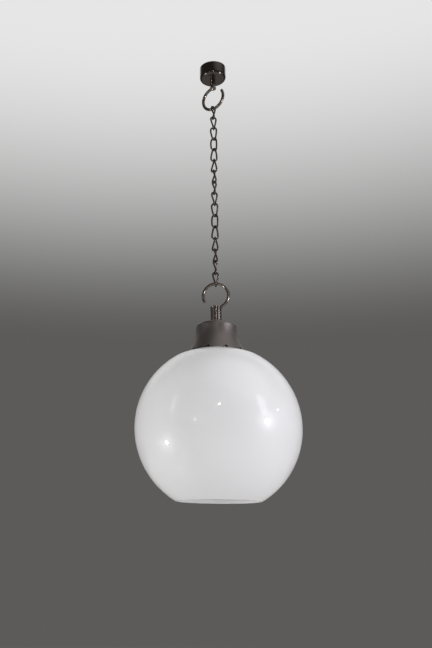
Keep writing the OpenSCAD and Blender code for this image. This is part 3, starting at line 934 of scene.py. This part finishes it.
def floor_paint():
    """Matt pale paint that fades into the backdrop's colour far from the lamp."""
    material, tree, output = new_material("Floor, matt paint")
    c = colours()
    place = add_node(tree, "ShaderNodeTexCoord")
    across = add_node(
        tree, "ShaderNodeVectorMath", {0: place.outputs["Object"], 1: (1.0, 1.0, 0.0)}, operation="MULTIPLY"
    )
    distance = add_node(tree, "ShaderNodeVectorMath", {0: across.outputs["Vector"]}, operation="LENGTH")
    far = add_node(
        tree, "ShaderNodeMapRange",
        {"Value": distance.outputs["Value"], "From Min": FLOOR_PALE, "From Max": FLOOR_FAR},
        interpolation_type="SMOOTHERSTEP",
    )
    fade = add_node(
        tree, "ShaderNodeMath", {0: far.outputs["Result"], 1: seen_rays(tree)}, operation="MULTIPLY"
    )
    paint = add_node(tree, "ShaderNodeBsdfPrincipled", {"Base Color": rgba(c.floor), "Roughness": 0.9})
    haze = add_node(tree, "ShaderNodeEmission", {"Color": rgba(c.backdrop), "Strength": 1.0})
    blend = add_node(
        tree, "ShaderNodeMixShader",
        {"Fac": fade.outputs["Value"], 1: paint.outputs["BSDF"], 2: haze.outputs["Emission"]},
    )
    tree.links.new(blend.outputs["Shader"], output.inputs["Surface"])
    return material


def studio_world():
    """A dim room whose back wall grows pale overhead, with a pale patch on its ceiling at the
    front right. Rays that only carry light get an even white fill instead."""
    world = bpy.data.worlds.new("Studio")
    world.use_nodes = True
    tree = world.node_tree
    tree.nodes.clear()
    c = colours()
    place = add_node(tree, "ShaderNodeTexCoord")
    parts = add_node(tree, "ShaderNodeSeparateXYZ", {"Vector": place.outputs["Generated"]})
    height = add_node(
        tree, "ShaderNodeMapRange",
        {"Value": parts.outputs["Z"], "From Min": WALL_UP[0], "From Max": WALL_UP[1]},
        interpolation_type="SMOOTHSTEP",
    )
    behind = add_node(
        tree, "ShaderNodeMapRange",
        {"Value": parts.outputs["Y"], "From Min": WALL_BACK[0], "From Max": WALL_BACK[1]},
        interpolation_type="SMOOTHSTEP",
    )
    pale = add_node(
        tree, "ShaderNodeMath",
        {0: height.outputs["Result"], 1: behind.outputs["Result"]}, operation="MULTIPLY",
    )
    towards = add_node(
        tree, "ShaderNodeVectorMath",
        {0: place.outputs["Generated"], 1: CEILING_PATCH}, operation="DOT_PRODUCT",
    )
    patch = add_node(
        tree, "ShaderNodeMapRange",
        {"Value": towards.outputs["Value"], "From Min": PATCH_EDGE[0], "From Max": PATCH_EDGE[1]},
        interpolation_type="SMOOTHSTEP",
    )
    paler = add_node(
        tree, "ShaderNodeMath", {0: pale.outputs["Value"], 1: patch.outputs["Result"]}, operation="MAXIMUM"
    )
    tone = add_node(tree, "ShaderNodeMix", {"Factor": paler.outputs["Value"]}, data_type="RGBA")
    tone.inputs[6].default_value = rgba(c.backdrop)
    tone.inputs[7].default_value = rgba(c.overhead)
    fill = add_node(tree, "ShaderNodeBackground", {"Color": (1, 1, 1, 1), "Strength": FILL})
    shown = add_node(tree, "ShaderNodeBackground", {"Color": tone.outputs[2], "Strength": 1.0})
    blend = add_node(
        tree, "ShaderNodeMixShader",
        {"Fac": seen_rays(tree), 1: fill.outputs["Background"], 2: shown.outputs["Background"]},
    )
    add_node(tree, "ShaderNodeOutputWorld", {"Surface": blend.outputs["Shader"]})
    return world


def add_lamp(name, target, azimuth, elevation, distance, power, hex_colour, **shape):
    """An area lamp aimed at a point; the camera doesn't see it, but glass and metal do."""
    az, el = math.radians(azimuth), math.radians(elevation)
    towards = Vector((math.sin(az) * math.cos(el), -math.cos(az) * math.cos(el), math.sin(el)))
    light = bpy.data.lights.new(name, "AREA")
    for key, value in shape.items():
        setattr(light, key, value)
    light.energy = power
    light.color = linear(hex_colour)
    lamp = bpy.data.objects.new(name, light)
    lamp.location = target + towards * distance
    lamp.rotation_euler = towards.to_track_quat("Z", "Y").to_euler()
    lamp.visible_camera = False
    bpy.context.collection.objects.link(lamp)


def add_camera(middle):
    """The photograph's camera, placed from the ball's middle."""
    lens = bpy.data.cameras.new("photo_camera")
    lens.sensor_width = SENSOR
    lens.lens = PHOTO_FOCAL * SENSOR / PHOTO_SIZE[1]
    lens.shift_x = (PHOTO_SIZE[0] / 2 - PHOTO_AXIS_X) / PHOTO_SIZE[1]
    camera = bpy.data.objects.new("photo_camera", lens)
    camera.location = (0.0, CAMERA_Y, middle.z - CAMERA_BELOW_GLOBE)
    turn = (
        Matrix.Rotation(CAMERA_HEADING, 4, "Z")
        @ Matrix.Rotation(math.pi / 2 + CAMERA_TILT, 4, "X")
        @ Matrix.Rotation(CAMERA_ROLL, 4, "Z")
    )
    camera.rotation_euler = turn.to_euler()
    bpy.context.collection.objects.link(camera)
    bpy.context.scene.camera = camera


class LAMP_OT_studio(bpy.types.Operator):
    """Set the floor, the background, the lamps and the camera"""

    bl_idname = "lamp.studio"
    bl_label = "Studio"

    def execute(self, context):
        low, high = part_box("globe")
        middle = Vector((0, 0, globe_middle()))
        deselect_all()
        bpy.ops.mesh.primitive_plane_add(size=60.0, location=(0, 0, low[2] - FLOOR_DROP))
        floor = named("studio_floor")
        apply_place(floor)
        floor.data.materials.append(floor_paint())
        context.scene.world = studio_world()
        for name, azimuth, elevation, distance, size, power, tint in ROUND_LAMPS:
            add_lamp(name, middle, azimuth, elevation, distance, power, tint, shape="DISK", size=size)
        cap = Vector((0, 0, high[2]))
        for name, azimuth, elevation, distance, width, height, power, tint in WINDOWS:
            add_lamp(
                name, cap, azimuth, elevation, distance, power, tint,
                shape="ELLIPSE", size=width, size_y=height,
            )
        add_camera(middle)
        context.scene.view_settings.view_transform = "Standard"
        return {"FINISHED"}


class LAMP_PT_panel(bpy.types.Panel):
    """Lists the lamp's sizes, colours and operators"""

    bl_idname = "LAMP_PT_panel"
    bl_label = "Pendant Lamp"
    bl_space_type = "VIEW_3D"
    bl_region_type = "UI"
    bl_category = "Lamp"

    def draw(self, context):
        for operator in OPERATORS:
            self.layout.operator(operator.bl_idname)
        for group in (context.scene.lamp_sizes, context.scene.lamp_angles, context.scene.lamp_colours):
            column = self.layout.column()
            for key in group.__annotations__:
                column.prop(group, key)


GROUPS = (("lamp_sizes", LampSizes), ("lamp_angles", LampAngles), ("lamp_colours", LampColours))
OPERATORS = (
    LAMP_OT_canopy,
    LAMP_OT_hooks,
    LAMP_OT_chain,
    LAMP_OT_cap,
    LAMP_OT_globe,
    LAMP_OT_bulb,
    LAMP_OT_inner_pieces,
    LAMP_OT_studio,
)


def register():
    for key, group in GROUPS:
        bpy.utils.register_class(group)
        setattr(bpy.types.Scene, key, bpy.props.PointerProperty(type=group))
    for cls in (*OPERATORS, LAMP_PT_panel):
        bpy.utils.register_class(cls)


def unregister():
    for cls in (LAMP_PT_panel, *reversed(OPERATORS)):
        bpy.utils.unregister_class(cls)
    for key, group in reversed(GROUPS):
        delattr(bpy.types.Scene, key)
        bpy.utils.unregister_class(group)


def main():
    register()
    bpy.ops.lamp.studio()
    bpy.ops.lamp.canopy()
    bpy.ops.lamp.hooks()
    bpy.ops.lamp.chain()
    bpy.ops.lamp.cap()
    bpy.ops.lamp.globe()
    bpy.ops.lamp.bulb()
    bpy.ops.lamp.inner_pieces()
    deselect_all()


if __name__ == "__main__":
    main()
